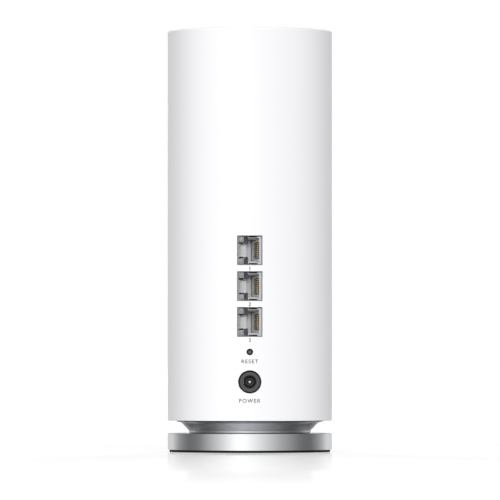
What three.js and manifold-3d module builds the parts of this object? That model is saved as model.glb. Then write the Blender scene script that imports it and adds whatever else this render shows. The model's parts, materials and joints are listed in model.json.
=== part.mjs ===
// A mesh Wi-Fi node: a round white tube on a turned metal foot, with three network sockets, a reset
// button and a power socket down its rear. The tube, its caps, the foot, the circuit board, the heatsink,
// the sockets, the antennas and their leads are all separate parts.
//
// Millimetres. +Z is up, the foot stands on z = 0, the Z axis is the tube's axis, and the sockets face -Y.

import * as THREE from "three";
import { mergeVertices } from "three/addons/utils/BufferGeometryUtils.js";
import Module from "manifold-3d";

const wasm = await Module();
wasm.setup();

// ---------------------------------------------------------------- driving dimensions

const BODY_RADIUS = 45; // shared by the shell and the base disc
const SHELL_WALL = 2.2;
const FOOT_TOP = 1.2;
const DISC_TOP = 10.3;
const SHELL_BOTTOM = 17.2;
const SHELL_TOP = 230.5;

const SOCKET_PITCH = 19.4; // between the middles of neighbouring network sockets
const LOWEST_SOCKET_Z = 70.8;
const RESET_Z = 54.6;
const POWER_Z = 38.4;
const SOCKET_FACE_Y = -43.5;
const POWER_FACE_Y = -44;
const POWER_NOSE = 5.9; // radius
const SOCKET_WIDTH = 13.4; // across, from the latch side to the board side
const SOCKET_HEIGHT = 15.8; // along the row of contacts
const SOCKET_DEPTH = 21.5;

const BOARD_X = 7; // the board's socket side
const BOARD_THICK = 1.6;
const BOARD_HALF = 37;
const BOARD_BOTTOM = 24.5;
const BOARD_TOP = 146;

const STATUS_LIGHT_Z = 38.4;
const BOLT_CIRCLE = 24;
const BOLT_ANGLES = [90, 210, 330];
const BOLT_HOLE = 1.7; // radius, loose round the base screws

const FINE = 60; // sides of the large visible rounds
const MEDIUM = 32; // sides of the large hidden rounds
const SMALL = 12; // sides of screws, posts and pins

// ---------------------------------------------------------------- worked-out sizes

const SHELL_INSIDE = BODY_RADIUS - SHELL_WALL;
const BOARD_BACK_X = BOARD_X + BOARD_THICK;
const COVER_BOTTOM = SHELL_BOTTOM + 0.3;
const COVER_TOP = COVER_BOTTOM + 2.1;
const LEDGE_TOP = COVER_TOP + 1.7;
const LEDGE_RADIUS = SHELL_INSIDE - 3;
const CHASSIS_RADIUS = LEDGE_RADIUS + 1.2;
const CHASSIS_TOP = BOARD_TOP + 4;
const CARRIER_TOP = SHELL_TOP - 10.5;
const CAP_BOTTOM = SHELL_TOP - 3.9;

// ---------------------------------------------------------------- materials

const finish = (color, roughness, metalness = 0) =>
  new THREE.MeshStandardMaterial({ color, roughness, metalness });

const WHITE_SHELL = finish("#f1f1f3", 0.42);
const GREY_PLASTIC = finish("#9b9da0", 0.6);
const DARK_PLASTIC = finish("#2c2d30", 0.5);
const TURNED_ALUMINIUM = finish("#c4c5c7", 0.28, 1);
const RUBBER = finish("#1c1c1e", 0.9);
const STEEL = finish("#8d9094", 0.4, 1);
const NICKEL = finish("#b4b5b8", 0.35, 1);
const SOCKET_PLASTIC = finish("#b9babd", 0.5);
const GOLD = finish("#c9a557", 0.3, 1);
const CLEAR_LENS = finish("#d5d6d8", 0.25);
const BOARD_GREEN = finish("#1f5a3a", 0.5);
const BLACK_EPOXY = finish("#1a1b1d", 0.5);
const HEATSINK_ALUMINIUM = finish("#8f9296", 0.45, 1);
const THERMAL_PAD = finish("#8fa3b5", 0.9);
const CABLE_JACKET = finish("#33353a", 0.6);

// ---------------------------------------------------------------- shape helpers

/** A closed geometry as a solid that can be joined and cut. */
function solidFrom(geometry) {
  const bare = new THREE.BufferGeometry();
  bare.setAttribute("position", geometry.getAttribute("position"));
  bare.setIndex(geometry.index);
  const merged = mergeVertices(bare, 1e-4);
  return new wasm.Manifold(
    new wasm.Mesh({
      numProp: 3,
      vertProperties: merged.attributes.position.array,
      triVerts: new Uint32Array(merged.index.array),
    }),
  );
}

/** A solid as a geometry that can be drawn. */
function geometryFrom(solid) {
  const mesh = solid.getMesh();
  const geometry = new THREE.BufferGeometry();
  geometry.setAttribute("position", new THREE.BufferAttribute(mesh.vertProperties, 3));
  geometry.setIndex(new THREE.BufferAttribute(mesh.triVerts, 1));
  geometry.computeVertexNormals();
  return geometry;
}

const join = (first, ...others) =>
  geometryFrom(others.reduce((whole, other) => whole.add(solidFrom(other)), solidFrom(first)));

const cut = (first, ...others) =>
  geometryFrom(others.reduce((whole, other) => whole.subtract(solidFrom(other)), solidFrom(first)));

/** A box given as its low and high limits along each axis. */
function box(x, y, z) {
  return new THREE.BoxGeometry(x[1] - x[0], y[1] - y[0], z[1] - z[0]).translate(
    (x[0] + x[1]) / 2,
    (y[0] + y[1]) / 2,
    (z[0] + z[1]) / 2,
  );
}

/** A round bar along Z, with a cone if its two radii differ. */
function barZ(radius, z, sides = SMALL, topRadius = radius) {
  return new THREE.CylinderGeometry(topRadius, radius, z[1] - z[0], sides)
    .rotateX(Math.PI / 2)
    .translate(0, 0, (z[0] + z[1]) / 2);
}

/** A round bar along Y. */
function barY(radius, y, sides = SMALL) {
  return new THREE.CylinderGeometry(radius, radius, y[1] - y[0], sides).translate(
    0,
    (y[0] + y[1]) / 2,
    0,
  );
}

/** A round bar along X. */
function barX(radius, x, sides = SMALL) {
  return new THREE.CylinderGeometry(radius, radius, x[1] - x[0], sides)
    .rotateZ(Math.PI / 2)
    .translate((x[0] + x[1]) / 2, 0, 0);
}

/** A round part about Z from its half section, as [radius, height] points that run anticlockwise. */
function turned(section, sides) {
  const points = section.map(([radius, height]) => new THREE.Vector2(radius, height));
  return new THREE.LatheGeometry(points, sides).rotateX(Math.PI / 2);
}

/** A flat ring with sharp edges. */
function ring(outer, inner, z, sides) {
  return turned([[inner, z[0]], [outer, z[0]], [outer, z[1]], [inner, z[1]], [inner, z[0]]], sides);
}

/** An outline in the XY plane, raised along Z. */
function raised(points, z) {
  const shape = new THREE.Shape(points.map(([x, y]) => new THREE.Vector2(x, y)));
  return new THREE.ExtrudeGeometry(shape, { depth: z[1] - z[0], bevelEnabled: false })
    .translate(0, 0, z[0]);
}

/** A round tube that follows a smooth curve through the given points. */
function tubeAlong(points, radius, steps, sides = 8) {
  const circle = new THREE.Shape(
    Array.from({ length: sides }, (_, i) => {
      const angle = (2 * Math.PI * i) / sides;
      return new THREE.Vector2(radius * Math.cos(angle), radius * Math.sin(angle));
    }),
  );
  const path = new THREE.CatmullRomCurve3(points.map((point) => new THREE.Vector3(...point)));
  return new THREE.ExtrudeGeometry(circle, { steps, extrudePath: path, bevelEnabled: false });
}

const radians = (degrees) => (degrees * Math.PI) / 180;
const polar = (radius, degrees) => [
  radius * Math.cos(radians(degrees)),
  radius * Math.sin(radians(degrees)),
];

/** One copy of a Z bar at each base bolt. */
const atBolts = (radius, z) =>
  BOLT_ANGLES.map((angle) => barZ(radius, z).translate(...polar(BOLT_CIRCLE, angle), 0));

const node = new THREE.Group();

/** A named part, added to a group. */
function part(name, geometry, material, group = node) {
  const mesh = new THREE.Mesh(geometry, material);
  mesh.name = name;
  group.add(mesh);
  return mesh;
}

/** A pan-head screw with a cross recess: its shank points along -Z from the head's underside at z = 0. */
function screwGeometry(headRadius, headHeight, shankRadius, length) {
  const head = turned(
    [
      [0, -length], [shankRadius, -length + 0.8], [shankRadius, 0],
      [headRadius, 0], [headRadius * 0.85, headHeight], [0, headHeight],
    ],
    SMALL,
  );
  const arm = headRadius * 0.5;
  const slot = headRadius * 0.1;
  const recess = [headHeight * 0.4, headHeight * 2];
  return cut(head, box([-arm, arm], [-slot, slot], recess), box([-slot, slot], [-arm, arm], recess));
}

// ---------------------------------------------------------------- shell, caps and foot

function outerShell() {
  const edge = 0.6;
  const tube = turned(
    [
      [SHELL_INSIDE, SHELL_BOTTOM], [BODY_RADIUS - edge / 2, SHELL_BOTTOM],
      [BODY_RADIUS, SHELL_BOTTOM + edge / 2], [BODY_RADIUS, SHELL_TOP - edge],
      [BODY_RADIUS - edge, SHELL_TOP], [SHELL_INSIDE, SHELL_TOP],
      [SHELL_INSIDE, LEDGE_TOP], [LEDGE_RADIUS, LEDGE_TOP],
      [LEDGE_RADIUS, COVER_TOP + 0.1], [SHELL_INSIDE, COVER_TOP + 0.1],
      [SHELL_INSIDE, SHELL_BOTTOM],
    ],
    FINE,
  );
  const throughWall = [-BODY_RADIUS - 1, -BODY_RADIUS + 8];
  const gap = 0.2;
  const windows = [0, 1, 2].map((i) =>
    box(
      [-SOCKET_WIDTH / 2 - gap, SOCKET_WIDTH / 2 + gap],
      throughWall,
      [-SOCKET_HEIGHT / 2 - gap, SOCKET_HEIGHT / 2 + gap],
    ).translate(0, 0, LOWEST_SOCKET_Z + i * SOCKET_PITCH),
  );
  const pinhole = 1.75;
  const noseClearance = 0.3;
  const lightRadius = 1.7;
  const resetHole = barY(pinhole, throughWall, 20).translate(0, 0, RESET_Z);
  const powerHole = barY(POWER_NOSE + noseClearance, throughWall, 32).translate(0, 0, POWER_Z);
  const frontWall = throughWall.map((y) => -y);
  const lightHole = barY(lightRadius, frontWall.reverse(), 20).translate(0, 0, STATUS_LIGHT_Z);
  part("outer_shell", cut(tube, ...windows, resetHole, powerHole, lightHole), WHITE_SHELL);
}

function topCap() {
  const rim = SHELL_INSIDE - 2.2; // leaves the warm-air slot inside the shell's rim
  const skirt = [30, 32.2];
  const dish = 1; // how far the middle lies below the rim
  part(
    "top_cap",
    turned(
      [
        [0, CAP_BOTTOM], [skirt[0], CAP_BOTTOM], [skirt[0], CARRIER_TOP], [skirt[1], CARRIER_TOP],
        [skirt[1], CAP_BOTTOM], [rim, CAP_BOTTOM], [rim, CAP_BOTTOM + 2.3], [rim - 0.5, CAP_BOTTOM + 2.7],
        [0, CAP_BOTTOM + 2.7 - dish],
      ],
      FINE,
    ),
    WHITE_SHELL,
  );
}

/** The closing plate under the tube. Notches round its edge let cooling air in. */
function bottomCover() {
  const notches = 24;
  const rim = SHELL_INSIDE - 0.3;
  const outline = [];
  for (let i = 0; i < notches; i++) {
    const turn = 360 / notches;
    outline.push(polar(rim, turn * (i - 0.2)), polar(rim, turn * (i + 0.2)));
    outline.push(polar(rim - 1.7, turn * (i + 0.25)), polar(rim - 1.7, turn * (i + 0.75)));
  }
  const plate = raised(outline, [COVER_BOTTOM, COVER_TOP]);
  const bosses = atBolts(4, [DISC_TOP, LEDGE_TOP]);
  const screwHoles = atBolts(BOLT_HOLE, [0, SHELL_TOP]);
  part("bottom_cover", cut(join(plate, ...bosses), ...screwHoles), GREY_PLASTIC);
}

function neckCone() {
  const foot = 32.2;
  const shoulder = [37.6, DISC_TOP + 5.7];
  const rim = 40.8;
  const wall = 2;
  part(
    "neck_cone",
    turned(
      [
        [foot - wall, DISC_TOP], [foot, DISC_TOP], shoulder, [rim, SHELL_BOTTOM],
        [rim, COVER_BOTTOM], [shoulder[0] - wall, COVER_BOTTOM], [foot - wall, DISC_TOP],
      ],
      FINE,
    ),
    TURNED_ALUMINIUM,
  );
}

function base() {
  const discWall = 3;
  const inside = BODY_RADIUS - discWall;
  const roof = DISC_TOP - 2.6;
  const edge = 0.7;
  const screwHoles = atBolts(BOLT_HOLE, [0, SHELL_TOP]);
  const cup = turned(
    [
      [0, roof], [inside, roof], [inside, FOOT_TOP], [BODY_RADIUS - edge, FOOT_TOP],
      [BODY_RADIUS, FOOT_TOP + edge], [BODY_RADIUS, DISC_TOP - edge],
      [BODY_RADIUS - edge, DISC_TOP], [0, DISC_TOP],
    ],
    FINE,
  );
  part("base_disc", cut(cup, ...screwHoles), TURNED_ALUMINIUM);

  const plateTop = FOOT_TOP + 1.8;
  const loose = 0.4;
  const weight = barZ(inside - loose, [plateTop, roof], MEDIUM);
  part("base_weight", cut(weight, ...screwHoles), STEEL);

  const closing = barZ(inside - loose, [FOOT_TOP, plateTop], MEDIUM);
  const headHoles = atBolts(3.4, [0, plateTop + 1]);
  part("base_plate", cut(closing, ...headHoles), DARK_PLASTIC);

  part("foot_ring", ring(BODY_RADIUS - 2, 35, [0, FOOT_TOP], FINE), RUBBER);

  BOLT_ANGLES.forEach((angle, i) => {
    const screw = part(`base_screw_${i + 1}`, screwGeometry(2.8, 1.6, 1.4, 22), STEEL);
    screw.rotation.x = Math.PI;
    screw.position.set(...polar(BOLT_CIRCLE, angle), plateTop);
  });
}

// ---------------------------------------------------------------- chassis, board and cooling

const RAIL = { x: [BOARD_BACK_X, 13.5], y: [32.5, 38] };
const BOARD_SCREW_Y = 35;
const BOARD_SCREW_Z = [29.5, 141];

/** A copy of a geometry at each of the four board screws. */
const atBoardScrews = (make) =>
  [-1, 1].flatMap((side) =>
    BOARD_SCREW_Z.map((z) => make().translate(0, side * BOARD_SCREW_Y, z)),
  );

function chassis() {
  const floor = ring(CHASSIS_RADIUS, 18, [LEDGE_TOP, LEDGE_TOP + 2], MEDIUM);
  const roof = ring(CHASSIS_RADIUS, 24, [CHASSIS_TOP - 2, CHASSIS_TOP], MEDIUM);
  const rails = [-1, 1].map((side) =>
    box(RAIL.x, RAIL.y.map((y) => side * y).sort((a, b) => a - b), [LEDGE_TOP + 1, CHASSIS_TOP - 1]),
  );
  const bosses = atBolts(3.5, [LEDGE_TOP + 1, LEDGE_TOP + 5.5]);
  const baseScrewHoles = atBolts(BOLT_HOLE, [0, SHELL_TOP]);
  const boardScrewHoles = atBoardScrews(() => barX(1.5, [0, 13]));
  part(
    "chassis",
    cut(join(floor, roof, ...rails, ...bosses), ...baseScrewHoles, ...boardScrewHoles),
    DARK_PLASTIC,
  );
}

function mainBoard() {
  const plate = box([BOARD_X, BOARD_BACK_X], [-BOARD_HALF, BOARD_HALF], [BOARD_BOTTOM, BOARD_TOP]);
  part("main_board", cut(plate, ...atBoardScrews(() => barX(1.6, [0, 13]))), BOARD_GREEN);

  [-1, 1].forEach((side, i) =>
    BOARD_SCREW_Z.forEach((z, j) => {
      const screw = part(`board_screw_${2 * i + j + 1}`, screwGeometry(2.4, 1.5, 1.2, 5.5), STEEL);
      screw.rotation.y = -Math.PI / 2;
      screw.position.set(BOARD_X, side * BOARD_SCREW_Y, z);
    }),
  );
}

const HEATSINK = { baseX: [11, 14], halfWidth: 28, z: [40, 140], fins: 10, finThick: 1.5 };

/** Upright fins on a flat base, trimmed to the round of the tube, so that warm air rises between them. */
function heatsink() {
  const reach = CHASSIS_RADIUS - 1.5;
  const pitch = (2 * HEATSINK.halfWidth - HEATSINK.finThick) / (HEATSINK.fins - 1);
  const outline = [[HEATSINK.baseX[0], HEATSINK.halfWidth], [HEATSINK.baseX[0], -HEATSINK.halfWidth]];
  for (let i = 0; i < HEATSINK.fins; i++) {
    const near = -HEATSINK.halfWidth + i * pitch;
    const far = near + HEATSINK.finThick;
    const tip = Math.sqrt(reach ** 2 - Math.max(Math.abs(near), Math.abs(far)) ** 2);
    outline.push([HEATSINK.baseX[1], near], [tip, near], [tip, far], [HEATSINK.baseX[1], far]);
  }
  // The first and last fins are flush with the base's ends, so their inner corners there are dropped.
  const corners = outline.filter(
    ([x, y]) => !(x === HEATSINK.baseX[1] && Math.abs(y) > HEATSINK.halfWidth - 1e-6),
  );
  part("heatsink", raised(corners, HEATSINK.z), HEATSINK_ALUMINIUM);
}

/** A chip or screening can on the heatsink side of the board, with the pad that carries its heat away. */
function cooledPart(name, y, z, width, height, thick, material) {
  const top = BOARD_BACK_X + thick;
  const across = [y - width / 2, y + width / 2];
  const along = [z - height / 2, z + height / 2];
  const inset = 1.5;
  part(name, box([BOARD_BACK_X, top], across, along), material);
  part(
    `${name}_pad`,
    box(
      [top, HEATSINK.baseX[0]],
      [across[0] + inset, across[1] - inset],
      [along[0] + inset, along[1] - inset],
    ),
    THERMAL_PAD,
  );
}

/** What stands on the socket side of the board. */
function boardParts() {
  for (let i = 0; i < 3; i++) {
    const z = LOWEST_SOCKET_Z + i * SOCKET_PITCH;
    part(
      `line_transformer_${3 - i}`,
      box([BOARD_X - 5.8, BOARD_X], [-18, -4], [z - 7.5, z + 7.5]),
      BLACK_EPOXY,
    );
  }
  part("bulk_capacitor", barX(5, [BOARD_X - 13, BOARD_X], 20).translate(0, 0, 46), CABLE_JACKET);
  part(
    "power_inductor",
    join(
      box([BOARD_X - 2, BOARD_X], [-23, -11], [34, 46]),
      barX(5.4, [BOARD_X - 6, BOARD_X - 1], 20).translate(0, -17, 40),
    ),
    BLACK_EPOXY,
  );
}

// ---------------------------------------------------------------- sockets down the rear

/**
 * One network socket lying on its side: latch towards -X, contacts towards +X, opening towards -Y.
 * The group's origin is the middle of the socket's face.
 */
function networkSocket(number, z) {
  const group = new THREE.Group();
  group.position.set(0, SOCKET_FACE_Y, z);
  node.add(group);

  const halfWidth = SOCKET_WIDTH / 2;
  const halfHeight = SOCKET_HEIGHT / 2;
  const skin = 0.35;
  const bore = [-1.9, 4.9]; // the plug's space across, and its latch's space beyond it
  const latch = [-5.5, bore[0]];
  const boreHalf = 5.9;
  const latchHalf = 3.2;
  const depth = 13.5;
  const rampFoot = 0.7; // where the comb behind the wires meets the back of the plug's space
  const lamp = { x: [-5.6, -3.2], z: [4.2, 7.2], y: [0.6, 3.6] };

  const can = cut(
    box([-halfWidth, halfWidth], [0, SOCKET_DEPTH], [-halfHeight, halfHeight]),
    box(
      [-halfWidth + skin, halfWidth + 1],
      [skin, SOCKET_DEPTH + 1],
      [-halfHeight + skin, halfHeight - skin],
    ),
    box([-5.75, 5], [-1, 1], [-6.75, 6.75]),
    box([-5.75, -1], [-1, 1], [-7.3, 7.3]),
    ...[-1, 1].map((side) => box([-0.4, 4.3], [-1, 1], [-0.3, 0.3]).translate(0, 0, side * 7.15)),
  );
  part(`socket_${number}_shield`, can, NICKEL, group);

  const leadIn = 0.7;
  const mouth = raised(
    [
      [bore[0] - leadIn, boreHalf + leadIn], [bore[0] - leadIn, -boreHalf - leadIn],
      [bore[1] + 0.3, -boreHalf - leadIn], [bore[1] + 0.3, boreHalf + leadIn],
    ],
    [0, 0.6],
  ).rotateX(-Math.PI / 2);
  const plugSpace = raised(
    [[bore[0], 0], [bore[1], 0], [bore[1], -3], [rampFoot, -depth], [bore[0], -depth]],
    [-boreHalf, boreHalf],
  ).rotateX(Math.PI);
  const body = cut(
    box(
      [-halfWidth + 0.45, halfWidth - 0.4],
      [0.45, SOCKET_DEPTH - 0.5],
      [-halfHeight + 0.45, halfHeight - 0.45],
    ),
    plugSpace,
    box([latch[0], latch[1] + 1], [0, depth], [-latchHalf, latchHalf]),
    mouth.translate(0, 0.4, 0),
    ...[-1, 1].flatMap((side) => [
      box([-5.8, -3], [0, lamp.y[1] + 0.2], [-2, 2]).translate(0, 0, side * 6),
      box([-3.3, -1], [0, 3], [-2.2, 2.2]).translate(0, 0, side * 5.75),
      box([-0.6, 4.5], [0, 3], [-0.6, 0.6]).translate(0, 0, side * 7.45),
    ]),
    box([bore[1] - 0.4, halfWidth], [1.5, depth + 4], [-4.4, 4.4]),
  );
  part(`socket_${number}_insert`, body, SOCKET_PLASTIC, group);

  part(`socket_${number}_contacts`, contactSet(bore[1], depth), GOLD, group);

  ["upper", "lower"].forEach((place, i) => {
    const side = 1 - 2 * i;
    const window = box(lamp.x, lamp.y, [-1.5, 1.5]).translate(0, 0, side * (lamp.z[0] + lamp.z[1]) / 2);
    part(`socket_${number}_lamp_${place}`, window, CLEAR_LENS, group);
  });
}

/** Eight sprung wires that slope back from the board side, held in the moulded strip at their roots. */
function contactSet(boardSide, depth) {
  const pitch = 1.02;
  const thick = 0.3;
  const root = [boardSide, boardSide + 0.9];
  const tip = boardSide - 4;
  const profile = [
    [root[0] + 0.1, 2.2], [root[0] + 0.1, depth + 3], [root[0] - 0.2, depth + 3],
    [root[0] - 0.2, 2.8], [tip, depth - 1.2], [tip, depth - 1.2 - 1.4 * thick], [root[0] - 0.35, 2.2],
  ];
  const wires = Array.from({ length: 8 }, (_, i) =>
    raised(profile, [-thick / 2, thick / 2]).translate(0, 0, (i - 3.5) * pitch),
  );
  const strip = box([root[0] - 0.05, root[1]], [2.2, depth + 3], [-4.2, 4.2]);
  return join(strip, ...wires);
}

function powerSocket() {
  const bore = 3.5;
  const back = POWER_FACE_Y + 11;
  const lift = (geometry) => geometry.translate(0, 0, POWER_Z);
  const noseBack = POWER_FACE_Y + 3.4;
  const pinCollar = cut(
    barY(2, [back - 3, back + 1], 20),
    barY(1.7, [back - 4, back], 20),
  );
  const springSlot = { x: [-3.9, -2.4], z: [-1.3, 1.3] };
  const body = cut(
    join(
      box([-5, BOARD_X], [noseBack - 0.4, back + 2.5], [-4.8, 4.8]),
      barY(POWER_NOSE, [POWER_FACE_Y, noseBack], 32),
    ),
    cut(barY(bore, [POWER_FACE_Y - 1, back], 32), pinCollar),
    barY(1.2, [back - 1, back + 4], SMALL),
    box(springSlot.x, [POWER_FACE_Y + 2.6, back], springSlot.z),
  );
  part("power_socket_body", lift(body), DARK_PLASTIC);

  const pin = turned(
    [[0, 0], [1, 0], [1, 10.9], [0.7, 11.4], [0, 11.6]],
    SMALL,
  );
  pin.rotateX(Math.PI / 2).translate(0, back + 2.2, 0);
  part("power_socket_pin", lift(pin), NICKEL);

  const spring = raised(
    [[-3.55, 0.3], [-3.25, 0.3], [-2.75, 4], [-3.25, 7.8], [-3.55, 7.8], [-3.1, 4]],
    [-1, 1],
  ).translate(0, POWER_FACE_Y + 2.7, 0);
  part("power_socket_spring", lift(spring), NICKEL);
}

const RESET = { tipY: -43, shoulderY: -38.4, housing: [-36.9, -30.5], travel: 0.5 };

/** The pinhole button: a stem that slides into the switch behind it. */
function resetButton() {
  const lift = (geometry) => geometry.translate(0, 0, RESET_Z);
  const stemEnd = RESET.housing[0] + 2.6;
  part(
    "reset_button",
    lift(
      join(
        barY(0.95, [RESET.tipY, RESET.shoulderY + 0.5], 20),
        barY(1.7, [RESET.shoulderY, stemEnd], 20),
      ),
    ),
    GREY_PLASTIC,
  );
  part(
    "reset_switch",
    lift(
      cut(
        box([-3.2, BOARD_X], RESET.housing, [-3.4, 3.4]),
        barY(1.9, [RESET.housing[0] - 1, stemEnd + RESET.travel + 0.4], 20),
      ),
    ),
    BLACK_EPOXY,
  );
}

// ---------------------------------------------------------------- status light and antennas

function statusLight() {
  const lampX = BOARD_X - 1.5;
  const lampY = [29.5, 31];
  part(
    "status_lamp",
    box([BOARD_X - 2.6, BOARD_X], lampY, [STATUS_LIGHT_Z - 1.6, STATUS_LIGHT_Z + 1.6]),
    CLEAR_LENS,
  );
  const guide = tubeAlong(
    [
      [lampX, lampY[1] + 0.4, 0], [lampX, 34, 0], [lampX - 1.2, 37, 0],
      [0.9, 39.8, 0], [0, 42, 0], [0, BODY_RADIUS - 0.1, 0],
    ],
    1.4,
    12,
    10,
  );
  part("light_guide", guide.translate(0, 0, STATUS_LIGHT_Z), CLEAR_LENS);
}

const ANTENNA_ANGLES = [45, 135, 225, 315];
const COLUMN = { radial: [32, 35.6], half: 4.5 };

/** A cage that stands on the chassis and holds an antenna on each of its four columns. */
function antennaCarrier() {
  const outer = 38;
  const hole = 24;
  const spoke = 3;
  const plates = [[CHASSIS_TOP, CHASSIS_TOP + 2], [CARRIER_TOP - 2, CARRIER_TOP]].flatMap((z) => [
    ring(outer, hole, z, MEDIUM),
    box([-hole - 2, hole + 2], [-spoke, spoke], z),
    box([-spoke, spoke], [-hole - 2, hole + 2], z),
  ]);
  const height = [CHASSIS_TOP + 1, CARRIER_TOP - 1];
  const columns = ANTENNA_ANGLES.map((angle) =>
    box(COLUMN.radial, [-COLUMN.half, COLUMN.half], height).rotateZ(radians(angle)),
  );
  part("antenna_carrier", join(...plates, ...columns), DARK_PLASTIC);
}

function antennas() {
  const plate = { radial: [36.1, 36.9], half: 7.5, z: [CHASSIS_TOP + 5, CARRIER_TOP - 5] };
  ANTENNA_ANGLES.forEach((angle, i) => {
    const antenna = part(
      `antenna_${i + 1}`,
      box(plate.radial, [-plate.half, plate.half], plate.z),
      BOARD_GREEN,
    );
    antenna.rotation.z = radians(angle);
  });
}

/** Each antenna's lead, from its snap plug on the board, up through the carrier and out beside a column. */
function antennaLeads() {
  const plugY = [18, 6, -6, -18];
  const plugX = [BOARD_X - 2, BOARD_X];
  const plugZ = BOARD_TOP - 5;
  const leadX = BOARD_X - 1.2;
  ANTENNA_ANGLES.forEach((angle, i) => {
    const y = plugY[i];
    const [sideX, sideY] = polar(27, angle + 10); // just clear of the column's edge
    const end = polar(35.7, angle + 10);
    const lead = tubeAlong(
      [
        [leadX, y, plugZ], [leadX, y, plugZ + 5], [leadX - 0.4, y, CHASSIS_TOP + 2],
        [(leadX + sideX) / 2, (y + sideY) / 2, CHASSIS_TOP + 6.5],
        [sideX, sideY, CHASSIS_TOP + 8], [...end, CHASSIS_TOP + 8.5],
      ],
      0.7,
      14,
      6,
    );
    const plug = barX(1.6, plugX, 12).translate(0, plugY[i], plugZ);
    part(`antenna_lead_${i + 1}`, join(lead, plug), CABLE_JACKET);
  });
}

// ---------------------------------------------------------------- the node

outerShell();
topCap();
bottomCover();
neckCone();
base();
chassis();
mainBoard();
heatsink();
cooledPart("processor", -4, 96, 21, 21, 1.6, BLACK_EPOXY);
cooledPart("radio_can_low", 8, 62, 30, 26, 1.8, NICKEL);
cooledPart("radio_can_high", 8, 124, 30, 24, 1.8, NICKEL);
boardParts();
for (let i = 0; i < 3; i++) networkSocket(3 - i, LOWEST_SOCKET_Z + i * SOCKET_PITCH);
powerSocket();
resetButton();
statusLight();
antennaCarrier();
antennas();
antennaLeads();

export default node;
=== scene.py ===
"""A mesh Wi-Fi node: a round white tube on a turned aluminium foot, with three network sockets, a reset
button and a power socket down its rear. It is laid out as a Blender add-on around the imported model, whose
nodes keep their places. Sizes are in millimetres until a shape is placed, and the sockets face -Y."""

import json
import math

import bmesh
import bpy
from mathutils import Matrix, Vector


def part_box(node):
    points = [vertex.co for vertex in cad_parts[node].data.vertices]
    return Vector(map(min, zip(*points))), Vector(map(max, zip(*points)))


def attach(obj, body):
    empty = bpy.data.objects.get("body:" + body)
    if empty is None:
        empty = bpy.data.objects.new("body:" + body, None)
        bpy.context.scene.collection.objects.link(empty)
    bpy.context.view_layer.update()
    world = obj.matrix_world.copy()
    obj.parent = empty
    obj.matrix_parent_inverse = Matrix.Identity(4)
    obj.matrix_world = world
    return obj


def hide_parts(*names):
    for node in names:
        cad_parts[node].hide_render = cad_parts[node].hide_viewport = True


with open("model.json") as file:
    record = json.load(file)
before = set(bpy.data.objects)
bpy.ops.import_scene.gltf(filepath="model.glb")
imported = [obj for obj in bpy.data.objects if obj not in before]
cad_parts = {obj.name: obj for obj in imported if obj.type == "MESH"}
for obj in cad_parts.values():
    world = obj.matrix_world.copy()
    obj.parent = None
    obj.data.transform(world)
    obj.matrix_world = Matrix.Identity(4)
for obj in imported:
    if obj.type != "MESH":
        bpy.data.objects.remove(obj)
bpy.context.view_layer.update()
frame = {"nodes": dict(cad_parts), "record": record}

bl_info = {
    "name": "Mesh Wi-Fi Node",
    "version": (1, 0, 0),
    "blender": (4, 5, 0),
    "location": "3D View > Sidebar > Wi-Fi Node",
    "description": "Builds a cylindrical Wi-Fi node with its sockets, foot and inner parts",
    "category": "Add Mesh",
}

MM = 0.001
CASE = "node"  # the body that everything but the reset button belongs to
SOCKET_NUMBERS = (1, 2, 3)
FULL_TURN = 2 * math.pi
FACE_REAR = Matrix.Rotation(math.pi / 2, 4, "X")  # turns +Z to -Y, the way the sockets face
SHARP = math.radians(35)  # faces that meet at more than this have an edge between them


# ------------------------------------------------------------------------------------------ colours


def linear(hex_colour):
    """An sRGB hex colour as linear red, green and blue."""
    channels = [int(hex_colour[i : i + 2], 16) / 255 for i in (1, 3, 5)]
    return [c / 12.92 if c <= 0.04045 else ((c + 0.055) / 1.055) ** 2.4 for c in channels]


def colour_property(name, description, hex_colour):
    return bpy.props.FloatVectorProperty(
        name=name, description=description, subtype="COLOR", size=3, min=0, max=1,
        default=linear(hex_colour),
    )


def size_property(name, description, millimetres):
    return bpy.props.FloatProperty(
        name=name, description=description, subtype="DISTANCE", unit="LENGTH", min=0, precision=5,
        default=millimetres * MM,
    )


class NodeSizes(bpy.types.PropertyGroup):
    """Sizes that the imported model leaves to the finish."""

    rim_rounding: size_property("Rim rounding", "Radius of the tube's top edge", 0.9)
    hem_rounding: size_property("Hem rounding", "Radius of the tube's bottom edge", 0.25)
    window_rounding: size_property("Window rounding", "Radius of the edges of the tube's openings", 0.1)
    disc_rounding: size_property("Disc rounding", "Radius of the foot disc's top edge", 0.22)
    legend_height: size_property("Legend height", "Height of the printed capitals and digits", 2.1)
    legend_stroke: size_property("Legend ink", "Thickness of the printed ink", 0.02)


class NodeColours(bpy.types.PropertyGroup):
    """Base colours of the visible finishes."""

    shell: colour_property("Shell", "White moulded shell", "#f0f0f2")
    metal: colour_property("Foot metal", "Turned aluminium", "#e6e7e9")
    insert: colour_property("Socket insert", "Light grey socket moulding", "#bcbdbf")
    shield: colour_property("Socket shield", "Nickel-plated sheet", "#c3c3c6")
    power: colour_property("Power socket", "Dark grey power socket moulding", "#3c3c3e")
    ink: colour_property("Legend ink", "Grey pad-printed ink", "#2e3032")


# ---------------------------------------------------------------------------------------- materials


def add_node(tree, kind, inputs=None, stops=None, **settings):
    """Adds a node. Inputs are values or the sockets that feed them, and stops a ramp's places and greys."""
    made = tree.nodes.new(kind)
    for name, value in settings.items():
        setattr(made, name, value)
    for name, value in (inputs or {}).items():
        if isinstance(value, bpy.types.NodeSocket):
            tree.links.new(value, made.inputs[name])
        else:
            made.inputs[name].default_value = value
    if stops:
        elements = made.color_ramp.elements
        while len(elements) < len(stops):
            elements.new(0.5)
        for element, (place, grey) in zip(elements, stops):
            element.position = place
            element.color = (grey, grey, grey, 1)
    return made


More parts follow.
